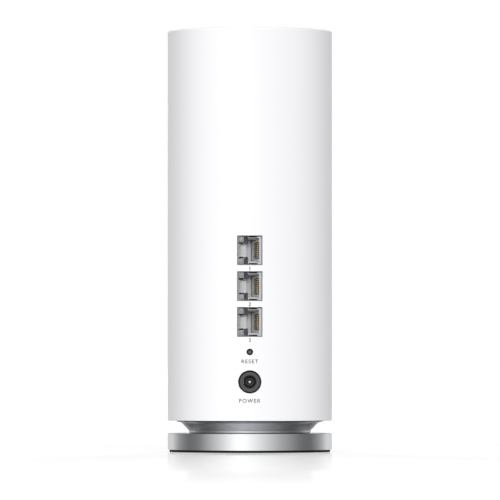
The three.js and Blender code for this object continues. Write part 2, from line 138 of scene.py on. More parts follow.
def new_material(name, colour, roughness, metallic=0.0, **constants):
    """A material with a Principled shader: its node tree, its shader and its object coordinates."""
    material = bpy.data.materials.new(name)
    material.use_nodes = True
    tree = material.node_tree
    shader = tree.nodes["Principled BSDF"]
    shader.inputs["Base Color"].default_value = (*colour, 1)
    shader.inputs["Roughness"].default_value = roughness
    shader.inputs["Metallic"].default_value = metallic
    for socket, value in constants.items():
        shader.inputs[socket.replace("_", " ").title().replace("Ior", "IOR")].default_value = value
    material.diffuse_color = (*colour, 1)
    place = add_node(tree, "ShaderNodeTexCoord").outputs["Object"]
    return material, tree, shader, place


def vary(tree, shader, noise, colour, tone, roughness, spread):
    """Lets a noise shift the base colour by a share of its tone and the roughness by a spread."""
    darker = [c * (1 - tone) for c in colour]
    mixed = add_node(
        tree, "ShaderNodeMix", {0: noise, 6: (*darker, 1), 7: (*colour, 1)}, data_type="RGBA"
    )
    tree.links.new(mixed.outputs[2], shader.inputs["Base Color"])
    rough = add_node(
        tree, "ShaderNodeMapRange",
        {"Value": noise, "To Min": roughness + spread, "To Max": roughness - spread},
    )
    tree.links.new(rough.outputs[0], shader.inputs["Roughness"])


def moulded_plastic(name, colour, roughness, grain, ior=1.53, tone=0.03, depth=0.01):
    """Injection-moulded plastic. The spark-eroded mould leaves an even, fine grain that breaks up gloss,
    and the melt's flow leaves a slow drift of tone over about 18 mm. The real grain is about 0.05 mm: it is
    drawn at `grain` mm, as fine as a close view can show."""
    material, tree, shader, place = new_material(name, colour, roughness, ior=ior)
    drift = add_node(
        tree, "ShaderNodeTexNoise", {"Vector": place, "Scale": 1 / (18 * MM), "Detail": 2}
    ).outputs["Fac"]
    vary(tree, shader, drift, colour, tone, roughness, 0.03)
    pits = add_node(
        tree, "ShaderNodeTexNoise",
        {"Vector": place, "Scale": 1 / (grain * MM), "Detail": 3, "Roughness": 0.6},
    ).outputs["Fac"]
    bump = add_node(tree, "ShaderNodeBump", {"Height": pits, "Strength": 0.25, "Distance": depth * MM})
    tree.links.new(bump.outputs[0], shader.inputs["Normal"])
    return material


def turned_aluminium(name, colour, line=0.12, roughness=0.26, along=0.7):
    """Aluminium turned on a lathe and brushed round its axis. Fine rings run round it, so its reflections
    stretch across the rings and stand as upright bands on its sides. The rings are about 0.05 mm apart:
    they are drawn at `line` mm, as fine as a close view can show."""
    material, tree, shader, place = new_material(name, colour, roughness, 1.0, anisotropic=along)
    shader.inputs["Anisotropic Rotation"].default_value = 0.25
    split = add_node(tree, "ShaderNodeSeparateXYZ", {0: place})
    across = add_node(
        tree, "ShaderNodeCombineXYZ", {"X": split.outputs["X"], "Y": split.outputs["Y"]}
    ).outputs[0]
    radius = add_node(tree, "ShaderNodeVectorMath", {0: across}, operation="LENGTH").outputs["Value"]
    around = add_node(tree, "ShaderNodeVectorMath", {0: across}, operation="NORMALIZE").outputs[0]
    section = add_node(
        tree, "ShaderNodeMath", {0: radius, 1: split.outputs["Z"]}, operation="ADD"
    ).outputs[0]
    rings = add_node(
        tree, "ShaderNodeMath", {0: section, 1: 1 / (line * MM)}, operation="MULTIPLY"
    ).outputs[0]
    scratches = add_node(
        tree,
        "ShaderNodeTexNoise",
        {"Vector": around, "W": rings, "Scale": 1.0, "Detail": 3},
        noise_dimensions="4D",
    ).outputs["Fac"]
    vary(tree, shader, scratches, colour, 0.05, roughness, 0.04)
    bump = add_node(tree, "ShaderNodeBump", {"Height": scratches, "Strength": 0.1, "Distance": 0.003 * MM})
    tree.links.new(bump.outputs[0], shader.inputs["Normal"])
    tangent = add_node(tree, "ShaderNodeTangent", direction_type="RADIAL", axis="Z")
    tree.links.new(tangent.outputs[0], shader.inputs["Tangent"])
    return material


def plated_metal(name, colour, roughness, streak=(0.5, 6.0, 0.5), tone=0.12):
    """Metal with a thin plated or rolled skin. Rolling leaves faint streaks along the sheet, and plating
    pools slightly, so gloss and tone drift from place to place. `streak` is the streaks' size in mm."""
    material, tree, shader, place = new_material(name, colour, roughness, 1.0)
    stretched = add_node(
        tree, "ShaderNodeMapping", {"Vector": place, "Scale": [1 / (size * MM) for size in streak]}
    ).outputs[0]
    streaks = add_node(
        tree, "ShaderNodeTexNoise", {"Vector": stretched, "Scale": 1.0, "Detail": 4}
    ).outputs["Fac"]
    vary(tree, shader, streaks, colour, tone, roughness, 0.08)
    bump = add_node(tree, "ShaderNodeBump", {"Height": streaks, "Strength": 0.2, "Distance": 0.006 * MM})
    tree.links.new(bump.outputs[0], shader.inputs["Normal"])
    return material


def solder_mask(name, colour, weave=0.6, track=1.3):
    """Glass-epoxy board under a green solder mask. The cloth's weave shows as a faint grid, and the copper
    tracks under the mask as slightly lighter right-angled paths."""
    material, tree, shader, place = new_material(name, colour, 0.35, ior=1.55)
    cells = add_node(
        tree, "ShaderNodeTexVoronoi", {"Vector": place, "Scale": 1 / (track * MM)}, distance="CHEBYCHEV"
    ).outputs["Distance"]
    tracks = add_node(
        tree, "ShaderNodeMapRange", {"Value": cells, "From Min": 0.3, "From Max": 0.42}
    ).outputs[0]
    lighter = [min(1, c * 1.7) for c in colour]
    mixed = add_node(
        tree, "ShaderNodeMix", {0: tracks, 6: (*colour, 1), 7: (*lighter, 1)}, data_type="RGBA"
    )
    tree.links.new(mixed.outputs[2], shader.inputs["Base Color"])
    cloth = add_node(
        tree, "ShaderNodeTexChecker", {"Vector": place, "Scale": 1 / (weave * MM)}
    ).outputs["Fac"]
    height = add_node(tree, "ShaderNodeMath", {0: tracks, 1: cloth}, operation="ADD").outputs[0]
    bump = add_node(tree, "ShaderNodeBump", {"Height": height, "Strength": 0.3, "Distance": 0.02 * MM})
    tree.links.new(bump.outputs[0], shader.inputs["Normal"])
    return material


def clear_moulding(name, colour):
    """Polycarbonate lens with a little milkiness: it lets light through softly, so a lamp behind it glows
    evenly and it looks pale grey when dark."""
    material, tree, shader, place = new_material(
        name, colour, 0.22, ior=1.58, transmission_weight=0.15, subsurface_weight=0.1
    )
    cloud = add_node(
        tree, "ShaderNodeTexNoise", {"Vector": place, "Scale": 1 / (0.8 * MM), "Detail": 2}
    ).outputs["Fac"]
    vary(tree, shader, cloud, colour, 0.08, 0.22, 0.05)
    return material


def shell_white():
    """Satin white PC/ABS: bright and even, with only a broad, soft highlight."""
    return moulded_plastic("satin_white_pc_abs_moulded", base_colour("shell"), 0.48, 0.3, 1.55, 0.012)


def cover_grey():
    """Mid grey ABS, unpainted, for what is only seen in shadow. Its grey is darkened past the plastic's own
    tone as painted shade, so that the gap under the tube and the reset hole read dark.
    """
    # 5e6063 is the plastic's grey darkened by painted shade.
    return moulded_plastic("grey_abs_moulded", linear("#5e6063"), 0.55, 0.3)


def frame_black():
    """Black glass-filled nylon: the fibres dull it and fleck its tone."""
    return moulded_plastic("black_glass_filled_nylon_moulded", linear("#2b2b2e"), 0.5, 0.25, 1.53, 0.15)


def socket_charcoal():
    """Charcoal PBT with a low sheen, so its face reads dark grey and its bore black."""
    return moulded_plastic("charcoal_pbt_moulded", base_colour("power"), 0.42, 0.2, 1.57, 0.08)


def socket_grey():
    """Light grey PBT: a hard, faintly glossy socket moulding."""
    return moulded_plastic("light_grey_pbt_moulded", base_colour("insert"), 0.5, 0.25, 1.57, 0.05)


def foot_rubber():
    """Black silicone rubber: nearly no gloss, and dusty in its grain."""
    return moulded_plastic("black_silicone_rubber_moulded", linear("#161617"), 0.8, 0.4, 1.41, 0.2)


def chip_epoxy():
    """Black epoxy, transfer moulded round a chip: matte, with a fine sandy grain."""
    return moulded_plastic("black_epoxy_transfer_moulded", linear("#18191b"), 0.5, 0.2, 1.55, 0.2)


def heat_pad():
    """Soft blue silicone heat pad, cast and tacky, with a clouded tone."""
    return moulded_plastic("blue_silicone_heat_pad_cast", linear("#8fa3b5"), 0.85, 0.5, 1.41, 0.1)


def cable_sleeve():
    """Black PVC, extruded, with a slight shine."""
    return moulded_plastic("black_pvc_extruded", linear("#26282c"), 0.45, 0.4, 1.53, 0.15)


def legend_ink():
    """Grey epoxy ink, pad printed: flat and a little uneven in its cover."""
    return moulded_plastic("grey_epoxy_ink_pad_printed", base_colour("ink"), 0.6, 0.2, 1.5, 0.05)


def foot_metal():
    """Clear-anodised aluminium, turned and brushed round the axis."""
    return turned_aluminium("anodised_aluminium_turned", base_colour("metal"))


def neck_metal():
    """The same anodised aluminium, turned but blasted to a satin, so it mirrors only soft shapes."""
    return turned_aluminium("anodised_aluminium_blasted", base_colour("metal"), 0.3, 0.28, 0.2)


def zinc_steel():
    """Zinc-plated steel of screws and the foot's weight: cool, half dull, mottled by its passivation."""
    return plated_metal("zinc_plated_steel_rolled", linear("#9a9da1"), 0.38)


def extruded_aluminium():
    """Extruded aluminium: die lines run the length of the heatsink's fins."""
    return plated_metal("aluminium_extruded", linear("#a9acb0"), 0.42, streak=(0.4, 0.4, 30.0))


def nickel_sheet():
    """Bright nickel on stamped steel sheet: shiny, with rolling streaks."""
    return plated_metal("nickel_plated_steel_stamped", base_colour("shield"), 0.34)


def gold_wire():
    """Gold flash on drawn bronze wire: warm and glossy along the wire."""
    return plated_metal("gold_plated_bronze_drawn", linear("#f4dca6"), 0.3, streak=(0.2, 2.0, 0.2))


def board_green():
    """Glass-epoxy board with a green mask over its tracks."""
    return solder_mask("glass_epoxy_board_masked", linear("#1d5a3c"))


def lens_clear():
    """Cloudy polycarbonate of light guides and lamp windows."""
    return clear_moulding("polycarbonate_lens_moulded", linear("#949496"))


FINISHES = {
    "white_shell": shell_white,
    "grey_plastic": cover_grey,
    "dark_plastic": frame_black,
    "power_plastic": socket_charcoal,
    "socket_plastic": socket_grey,
    "foot_rubber": foot_rubber,
    "black_epoxy": chip_epoxy,
    "heat_pad": heat_pad,
    "sleeve_plastic": cable_sleeve,
    "ink": legend_ink,
    "turned_aluminium": foot_metal,
    "satin_aluminium": neck_metal,
    "plain_steel": zinc_steel,
    "heatsink_aluminium": extruded_aluminium,
    "nickel_plate": nickel_sheet,
    "gold_plate": gold_wire,
    "circuit_board": board_green,
    "clear_lens": lens_clear,
}
made_finishes = {}


def finish(name):
    """The material for a finish, made when it is first asked for."""
    if name not in made_finishes:
        made_finishes[name] = FINISHES[name]()
    return made_finishes[name]


def base_colour(name):
    """A colour from the add-on's settings."""
    return getattr(bpy.context.scene.node_colours, name)[:]


# ------------------------------------------------------------------------------------------- shapes


def outline_edges(shape, outline, closed):
    """Adds a chain of edges in the XZ plane. A point is (x, z) or (x, z, corner rounding)."""
    started = len(shape.verts)
    verts = [shape.verts.new((point[0], 0, point[1])) for point in outline]
    ends = verts[1:] + verts[:1] if closed else verts[1:]
    for start, end in zip(verts, ends):
        shape.edges.new((start, end))
    for vert, point in zip(verts, outline):
        if len(point) == 3:
            bmesh.ops.bevel(
                shape, geom=[vert], offset=point[2], offset_type="OFFSET", segments=5, profile=0.5,
                affect="VERTICES", material=-1,
            )
    shape.verts.ensure_lookup_table()
    chain = shape.verts[started:]
    return chain, list({edge for vert in chain for edge in vert.link_edges})


def turn(shape, outline, steps, closed=False):
    """Spins a half section about Z. An open outline starts and ends on the axis."""
    verts, edges = outline_edges(shape, outline, closed)
    bmesh.ops.spin(
        shape, geom=verts + edges, cent=(0, 0, 0), axis=(0, 0, 1), angle=FULL_TURN, steps=steps,
        use_merge=True,
    )
    bmesh.ops.remove_doubles(shape, verts=shape.verts[:], dist=1e-5)
    bmesh.ops.recalc_face_normals(shape, faces=shape.faces[:])


def slab(shape, outline, low, high):
    """Fills an outline in the XY plane and raises it from z = low to z = high."""
    verts, edges = outline_edges(shape, outline, True)
    lay_down = Matrix.Rotation(-math.pi / 2, 3, "X")
    bmesh.ops.rotate(shape, verts=verts, cent=(0, 0, 0), matrix=lay_down)
    bmesh.ops.translate(shape, verts=verts, vec=(0, 0, low))
    face = bmesh.ops.contextual_create(shape, geom=edges)["faces"]
    raised = bmesh.ops.extrude_face_region(shape, geom=face)["geom"]
    top = [item for item in raised if isinstance(item, bmesh.types.BMVert)]
    bmesh.ops.translate(shape, verts=top, vec=(0, 0, high - low))
    bmesh.ops.recalc_face_normals(shape, faces=shape.faces[:])


def block(shape, x, y, z):
    """Adds a box from its limits along each axis."""
    centre = Vector([(low + high) / 2 for low, high in (x, y, z)])
    size = [high - low for low, high in (x, y, z)]
    place = Matrix.Translation(centre) @ Matrix.Diagonal((*size, 1))
    return bmesh.ops.create_cube(shape, size=1, matrix=place)["verts"]


def rod(shape, radius, centre, length, turned=FACE_REAR):
    """Adds a round rod, which runs along Y unless it is turned another way."""
    bmesh.ops.create_cone(
        shape, cap_ends=True, segments=72, radius1=radius, radius2=radius, depth=length,
        matrix=Matrix.Translation(centre) @ turned,
    )


def settle(shape, place=Matrix.Identity(4)):
    """Turns a shape from millimetres to metres, and puts it in its place."""
    bmesh.ops.transform(shape, matrix=place @ Matrix.Scale(MM, 4), verts=shape.verts[:])
    return shape


def smooth(mesh):
    """Shades a mesh smoothly between its sharp edges."""
    mesh.shade_smooth()
    mesh.set_sharp_from_angle(angle=SHARP)


def finish_piece(name, shape, slot, material=None, body=CASE, replaced=()):
    """Makes a shape a named piece that rides on a body and stands for CAD nodes."""
    mesh = bpy.data.meshes.new(name)
    shape.to_mesh(mesh)
    shape.free()
    smooth(mesh)
    mesh.materials.append(finish(material or slot))
    piece = bpy.data.objects.new(name, mesh)
    bpy.context.scene.collection.objects.link(piece)
    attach(piece, body)
    if replaced:
        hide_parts(*replaced)
    return piece


def combine(piece, shape, operation="DIFFERENCE"):
    """Cuts a shape from a piece, or joins it on, for which a bmesh has no operator."""
    tool_mesh = bpy.data.meshes.new("tool")
    shape.to_mesh(tool_mesh)
    shape.free()
    tool = bpy.data.objects.new("tool", tool_mesh)
    bpy.context.scene.collection.objects.link(tool)
    modifier = piece.modifiers.new("combine", "BOOLEAN")
    modifier.object = tool
    modifier.operation = operation
    modifier.solver = "EXACT"
    modifier.use_self = True
    bpy.context.view_layer.update()
    result = bpy.data.meshes.new_from_object(piece.evaluated_get(bpy.context.evaluated_depsgraph_get()))
    piece.modifiers.clear()
    spent = piece.data
    piece.data = result
    bpy.data.objects.remove(tool)
    bpy.data.meshes.remove(tool_mesh)
    bpy.data.meshes.remove(spent)
    result.name = piece.name
    smooth(result)


def soften(piece, width):
    """Rounds a piece's sharp edges, as a mould, press or deburring wheel leaves them."""
    bevel = piece.modifiers.new("soft_edges", "BEVEL")
    bevel.width = width * MM
    bevel.segments = 2
    bevel.limit_method = "ANGLE"
    bevel.angle_limit = SHARP
    bevel.use_clamp_overlap = True
    normals = piece.modifiers.new("even_shading", "WEIGHTED_NORMAL")
    normals.keep_sharp = True


def millimetres(node):
    """A CAD node's lowest and highest corners, in millimetres."""
    return [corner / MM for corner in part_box(node)]


# -------------------------------------------------------------------------------- tube, caps and foot

ROUND_STEPS = 150  # its spokes stay clear of the openings' edges


class MakeShell(bpy.types.Operator):
    """Makes the white tube, with its openings cut through the wall"""

    bl_idname = "wifi_node.make_shell"
    bl_label = "Tube Shell"
    bl_options = {"REGISTER", "UNDO"}

    def execute(self, context):
        sizes = context.scene.node_sizes
        low, high = millimetres("outer_shell")
        outside = high.x
        inside = outside - 2.2
        ledge = inside - 3
        rest = millimetres("chassis")[0].z  # the ledge's top, which the chassis stands on
        under = rest - 1.6
        tube = bmesh.new()
        turn(
            tube,
            [
                (inside, low.z), (outside, low.z, sizes.hem_rounding / MM),
                (outside, high.z, sizes.rim_rounding / MM), (inside, high.z, 0.5), (inside, rest),
                (ledge, rest), (ledge, under), (inside, under),
            ],
            ROUND_STEPS,
            closed=True,
        )
        shell = finish_piece("tube_shell", settle(tube), "white_shell", replaced=["outer_shell"])
        openings = bmesh.new()
        gap = 0.12
        for number in SOCKET_NUMBERS:
            near, far = millimetres(f"socket_{number}_shield")
            across = (near.x - gap, far.x + gap)
            block(openings, across, (-outside - 2, -inside + 3), (near.z - gap, far.z + gap))
        for node, radius, side in (
            ("reset_button", 1.8, -1), ("power_socket_body", 6.28, -1), ("light_guide", 1.5, 1),
        ):
            near, far = millimetres(node)
            rod(openings, radius, (0, side * outside, (near.z + far.z) / 2), 14)
        combine(shell, settle(openings))
        soften(shell, sizes.window_rounding / MM)
        return {"FINISHED"}


class MakeCap(bpy.types.Operator):
    """Makes the dished top cap, which leaves an air slot inside the tube's rim"""

    bl_idname = "wifi_node.make_cap"
    bl_label = "Top Cap"
    bl_options = {"REGISTER", "UNDO"}

    def execute(self, context):
        low, high = millimetres("top_cap")
        under = high.z - 2.7
        skirt_inside, skirt_outside = 30, 32.2
        shoulder = high.x - 9
        dish = high.z - 1
        cap = bmesh.new()
        turn(
            cap,
            [
                (0, under), (skirt_inside, under), (skirt_inside, low.z), (skirt_outside, low.z),
                (skirt_outside, under), (high.x, under, 0.3), (high.x, high.z, 0.7),
                (shoulder, high.z - 0.25, 6), (0, dish),
            ],
            ROUND_STEPS,
        )
        finish_piece("dished_cap", settle(cap), "white_shell", replaced=["top_cap"])
        return {"FINISHED"}


def make_neck():
    """The turned cone between the disc and the tube, its collar, and the black rings under and over it,
    which are painted shade: they darken the shadow gaps there.
    """
    low, high = millimetres("neck_cone")
    bore = 30.2
    foot = 33.3
    shoulder, shoulder_level = 37.6, low.z + 5.7
    shade_ring_top = low.z + 0.3
    collar_top = shade_ring_top + 1.1
    lip = high.x
    lip_top = high.z - 0.7
    ledge = shoulder - 1.5
    neck = bmesh.new()
    turn(
        neck,
        [
            (bore, shade_ring_top), (foot, shade_ring_top, 0.1), (foot + 0.1, collar_top, 0.1),
            (shoulder, shoulder_level, 1.0), (lip, lip_top, 0.12), (ledge, lip_top),
        ],
        ROUND_STEPS,
        closed=True,
    )
    finish_piece(
        "turned_neck", settle(neck), "turned_aluminium", "satin_aluminium", replaced=["neck_cone"]
    )
    # Two black rubber rings as painted shade: they fill the gap under the tube and the gap above the disc,
    # where only shade falls.
    for name, inner, outer, below, above in (
        ("lower_seal", bore, foot - 0.5, low.z, shade_ring_top),
        ("upper_seal", ledge, lip - 1, lip_top, high.z),
    ):
        shade_ring = bmesh.new()
        section = [(inner, below), (outer, below), (outer, above), (inner, above)]
        turn(shade_ring, section, ROUND_STEPS, closed=True)
        finish_piece(name, settle(shade_ring), "foot_rubber")


def make_disc(rounding):
    """The foot's upturned cup, drilled for the three long screws."""
    low, high = millimetres("base_disc")
    weight = millimetres("base_weight")[1]
    inside = weight.x + 0.4
    screw_hole = 1.7
    disc = bmesh.new()
    turn(
        disc,
        [
            (0, weight.z), (inside, weight.z), (inside, low.z), (high.x, low.z, 0.12),
            (high.x, high.z, rounding), (0, high.z),
        ],
        ROUND_STEPS,
    )
    cup = finish_piece("turned_disc", settle(disc), "turned_aluminium", replaced=["base_disc"])
    holes = bmesh.new()
    for number in (1, 2, 3):
        near, far = millimetres(f"base_screw_{number}")
        middle = (near + far) / 2
        rod(holes, screw_hole, (middle.x, middle.y, high.z), 10, turned=Matrix.Identity(4))
    combine(cup, settle(holes))


def make_rubber_ring():
    """The ring that the node stands on."""
    low, high = millimetres("foot_ring")
    inside, outside = 35, high.x + 1
    ring = bmesh.new()
    turn(
        ring,
        [(inside, low.z, 0.3), (outside, low.z, 0.2), (outside, high.z), (inside, high.z)],
        ROUND_STEPS,
        closed=True,
    )
    finish_piece("rubber_foot", settle(ring), "foot_rubber", replaced=["foot_ring"])


class MakeFoot(bpy.types.Operator):
    """Makes the neck cone, the turned disc and the rubber ring under it"""

    bl_idname = "wifi_node.make_foot"
    bl_label = "Foot"
    bl_options = {"REGISTER", "UNDO"}

    def execute(self, context):
        make_neck()
        make_disc(context.scene.node_sizes.disc_rounding / MM)
        make_rubber_ring()
        return {"FINISHED"}


# ------------------------------------------------------------------------------------ network sockets

# Each socket is drawn about the middle of its face, with its latch towards -X and its depth along +Y.
WIRE_COUNT = 8
WIRE_PITCH = 1.02
WIRE_WIDTH = 0.4
RIB_COUNT = 11
RIB_HALF = 0.17
PLUG_SPACE = (-1.9, 4.9)  # across
PLUG_HALF = 5.9  # half the width of the plug's space
PLUG_DEPTH = 10.5
LATCH_SPACE = (-5.6, -0.9)  # across
LATCH_HALF = 3.35
LATCH_DEPTH = 4.6
LAMP_SLOT = (-6.05, -3.25)
SPRING_SLOT = (-3.1, -1)
SIDE_SLOT = (-0.6, 4.1)
ROOTS_BACK = 17.5
OPEN_FRONT = -1  # where a cutter starts, clear of the face


def both_sides(shape, x, y, inner, outer):
    """Adds a box on each side of a socket's middle, between two distances from it."""
    block(shape, x, y, (inner, outer))
    block(shape, x, y, (-outer, -inner))


def make_can(number, face, half):
    """The shield: a can folded from thin sheet, open behind and on the board's side, with two leaning
    springs that ground the plug's own shield."""
    sheet = 0.35
    fold = 0.65
    depth = half.y * 2
    can = bmesh.new()
    block(can, (-half.x, half.x), (0, depth), (-half.z, half.z))
    folds = [edge for edge in can.edges if all(vert.co.y == 0 for vert in edge.verts)]
    bmesh.ops.bevel(
        can, geom=folds, offset=fold, segments=4, profile=0.5, affect="EDGES", material=-1
    )
    name = f"socket_{number}_can"
    shield = finish_piece(name, settle(can, face), "nickel_plate", replaced=[f"socket_{number}_shield"])
    room = bmesh.new()
    inside = half.z - sheet
    block(room, (-half.x + sheet, half.x + 1), (sheet, depth + 1), (-inside, inside))
    combine(shield, settle(room, face))
    opening = bmesh.new()
    through = (OPEN_FRONT, 1)
    block(opening, (LAMP_SLOT[0], 5.0), through, (-6.7, 6.7))
    combine(shield, settle(opening, face))
    windows = bmesh.new()
    both_sides(windows, LAMP_SLOT, through, 6, 7.35)
    both_sides(windows, (-3.15, -1), through, 6, 7.5)
    both_sides(windows, SIDE_SLOT, through, 6.9, 7.55)
    combine(shield, settle(windows, face))
    springs = bmesh.new()
    leaf_half, leaf_depth, leaf_away, leaf_lean = 2.8, 6.5, 5.6, math.radians(42)
    for side in (1, -1):
        leaf = block(springs, SPRING_SLOT, (-0.15, 0.15), (-leaf_half, leaf_half))
        lean = Matrix.Rotation(-side * leaf_lean, 3, "X")
        bmesh.ops.rotate(springs, verts=leaf, cent=(0, 0, 0), matrix=lean)
        bmesh.ops.translate(springs, verts=leaf, vec=(0, leaf_depth, side * leaf_away))
    combine(shield, settle(springs, face), "UNION")
    soften(shield, 0.06)


def make_moulding(number, face, half):
    """The moulding in the can: a latch channel, the plug's space, open slots round them and a comb."""
    insert = bmesh.new()
    inset = 0.45
    front, back = 3.1, 21
    block(insert, (-half.x + inset, half.x - inset), (front, back), (-half.z + inset, half.z - inset))
    name = f"socket_{number}_moulding"
    piece = finish_piece(
        name, settle(insert, face), "socket_plastic", replaced=[f"socket_{number}_insert"]
    )
    plug = bmesh.new()
    near, far = PLUG_SPACE
    ramp = [(near, OPEN_FRONT), (far, OPEN_FRONT), (far, 3), (0.7, PLUG_DEPTH), (near, PLUG_DEPTH)]
    slab(plug, ramp, -PLUG_HALF, PLUG_HALF)
    combine(piece, settle(plug, face))
    latch = bmesh.new()
    near, far = LATCH_SPACE
    channel = [(near, OPEN_FRONT), (far, OPEN_FRONT), (far, LATCH_DEPTH), (near, LATCH_DEPTH)]
    slab(latch, channel, -LATCH_HALF, LATCH_HALF)
    corners = [
        edge for edge in latch.edges
        if all(vert.co.x < -5 for vert in edge.verts) and edge.calc_length() > LATCH_DEPTH
    ]
    bmesh.ops.bevel(
        latch, geom=corners, offset=1.1, segments=3, profile=0.5, affect="EDGES", material=-1
    )
    combine(piece, settle(latch, face))
    for x, depth, inner, outer in (
        (LAMP_SLOT, 6, 3.5, 8), (SPRING_SLOT, back, 3.6, 8), (SIDE_SLOT, back, 6.85, 8),
    ):
        slots = bmesh.new()
        both_sides(slots, x, (OPEN_FRONT, depth + 1), inner, outer)
        combine(piece, settle(slots, face))
    roots = bmesh.new()
    block(roots, (3.0, half.x + 1), (front + 0.2, ROOTS_BACK), (-4.4, 4.4))
    block(roots, (0.55, 0.85), (PLUG_DEPTH - 1, ROOTS_BACK), (-5.6, 5.6))
    combine(piece, settle(roots, face))
    mouth = bmesh.new()
    block(mouth, PLUG_SPACE, (front - 0.05, front + 0.9), (-PLUG_HALF, PLUG_HALF))
    front_corners = [vert for vert in mouth.verts if vert.co.y < front]
    bmesh.ops.scale(mouth, verts=front_corners, vec=(1.05, 1, 1.165))
    combine(piece, settle(mouth, face))
    comb = bmesh.new()
    profile = [(2.9, 6.4), (1.1, PLUG_DEPTH - 1), (1.5, PLUG_DEPTH + 1), (3.4, 8)]
    for place in range(RIB_COUNT):
        rib = (place - (RIB_COUNT - 1) / 2) * WIRE_PITCH
        slab(comb, profile, rib - RIB_HALF, rib + RIB_HALF)
    combine(piece, settle(comb, face), "UNION")
    soften(piece, 0.08)


def make_wires(number, face):
    """Eight drawn wires that spring from the board's side and slope back to the comb."""
    wires = bmesh.new()
    root = 16.5
    profile = [
        (4.95, root), (4.95, 4.8, 0.4), (4.7, 2.5, 0.3), (3.5, 3.1, 0.4), (2.3, 5.4, 0.6), (1.9, 7.6),
        (2.2, 7.7), (2.6, 5.6, 0.6), (3.7, 3.5, 0.3), (4.45, 3.1, 0.15), (4.65, 4.9, 0.3), (4.65, root),
    ]
    for place in range(WIRE_COUNT):
        middle = (place - (WIRE_COUNT - 1) / 2) * WIRE_PITCH
        slab(wires, profile, middle - WIRE_WIDTH / 2, middle + WIRE_WIDTH / 2)
    name = f"socket_{number}_wires"
    finish_piece(name, settle(wires, face), "gold_plate", replaced=[f"socket_{number}_contacts"])


def make_lamp_window(number, face, name, side):
    """A small window beside the latch, which glows when a link is up."""
    lamp = bmesh.new()
    block(lamp, (-5.95, -3.3), (0.4, 3.6), sorted((side * 4.35, side * 7.3)))
    bmesh.ops.bevel(
        lamp, geom=lamp.edges[:], offset=0.15, segments=3, profile=0.5, affect="EDGES", material=-1
    )
    finish_piece(
        f"socket_{number}_window_{name}", settle(lamp, face), "clear_lens",
        replaced=[f"socket_{number}_lamp_{name}"],
    )


class MakeNetworkSockets(bpy.types.Operator):
    """Makes the three network sockets, each with its can, moulding, wires and lamp windows"""

    bl_idname = "wifi_node.make_network_sockets"
    bl_label = "Network Sockets"
    bl_options = {"REGISTER", "UNDO"}

    def execute(self, context):
        for number in SOCKET_NUMBERS:
            low, high = millimetres(f"socket_{number}_shield")
            middle = (low + high) / 2
            half = (high - low) / 2
            face = Matrix.Translation(Vector((middle.x, low.y, middle.z)) * MM)
            make_can(number, face, half)
            make_moulding(number, face, half)
            make_wires(number, face)
            make_lamp_window(number, face, "upper", 1)
            make_lamp_window(number, face, "lower", -1)
        return {"FINISHED"}


# ------------------------------------------------------------------------- power, reset, light, legends


def facing_rear(node):
    """A place whose origin is a node's rearmost point on the tube's middle plane and whose +Z faces -Y."""
    low, high = millimetres(node)
    return Matrix.Translation(Vector((0, low.y, (low.z + high.z) / 2)) * MM) @ FACE_REAR


class MakePowerSocket(bpy.types.Operator):
    """Makes the barrel power socket: its round nose and housing, centre pin and side spring"""

    bl_idname = "wifi_node.make_power_socket"
    bl_label = "Power Socket"
    bl_options = {"REGISTER", "UNDO"}

    def execute(self, context):
        low, high = millimetres("power_socket_body")
        place = facing_rear("power_socket_body")
        depth = high.y - low.y
        bore, nose, pin = 3.5, 5.9, 1.0
        floor = -11
        shank, shank_top = 4.7, -3.4
        room_radius = 4.6  # the housing's, just inside the shank, so that the two join
        collar, collar_bore, collar_top = 1.95, 1.5, -0.6
        housing = bmesh.new()
        block(housing, (low.x + 0.9, high.x), (-4.8, 4.8), (-depth, -3.2))
        body = finish_piece(
            "power_socket_moulding", settle(housing, place), "dark_plastic", "power_plastic",
            replaced=["power_socket_body"],
        )
        room = bmesh.new()
        rod(room, room_radius, (0, 0, -depth / 2), depth + 2, turned=Matrix.Identity(4))
        combine(body, settle(room, place))
        barrel = bmesh.new()
        turn(
            barrel,
            [
                (bore, 0, 0.3), (nose - 0.5, 0, 0.2), (nose, -1.4, 0.2), (nose, shank_top),
                (shank, shank_top), (shank, -depth), (pin, -depth), (pin, floor), (collar_bore, floor),
                (collar_bore, collar_top, 0.1), (collar, collar_top, 0.12), (collar, floor), (bore, floor),
            ],
            96,
            closed=True,
        )
        combine(body, settle(barrel, place), "UNION")

        post = bmesh.new()
        root = -depth + 0.4
        turn(post, [(0, root), (pin, root), (pin, -2.2, 0.2), (0.72, -1.5, 0.05), (0, -1.48)], 48)
        finish_piece("power_pin", settle(post, place), "nickel_plate", replaced=["power_socket_pin"])

        leaf = bmesh.new()
        near, far = millimetres("power_socket_spring")
        near.y += 2.4  # set back from the nose
        thick = 0.3
        crest = (near.y + far.y) / 2
        arch = [
            (near.x, near.y), (near.x + thick, near.y), (far.x, crest, 1.5),
            (near.x + thick, far.y), (near.x, far.y), (far.x - thick, crest, 1.5),
        ]
        slab(leaf, arch, near.z, far.z)
        finish_piece("power_spring", settle(leaf), "nickel_plate", replaced=["power_socket_spring"])
        return {"FINISHED"}


class MakeReset(bpy.types.Operator):
    """Makes the stem of the reset button, which slides inwards"""

    bl_idname = "wifi_node.make_reset"
    bl_label = "Reset Button"
    bl_options = {"REGISTER", "UNDO"}

    def execute(self, context):
        low, high = millimetres("reset_button")
        length = high.y - low.y
        tip, shoulder = 0.95, -4.6
        collar = (high.x - low.x) / 2
        stem = bmesh.new()
        turn(
            stem,
            [
                (0, 0), (tip, 0, 0.2), (tip, shoulder, 0.1), (collar, shoulder, 0.2), (collar, -length),
                (0, -length),
            ],
            48,
        )
        place = facing_rear("reset_button")
        # The stem's grey finish is darkened as painted shade, so its tip reads dark in the reset hole.
        finish_piece(
            "reset_stem", settle(stem, place), "grey_plastic", body="reset", replaced=["reset_button"]
        )
        return {"FINISHED"}


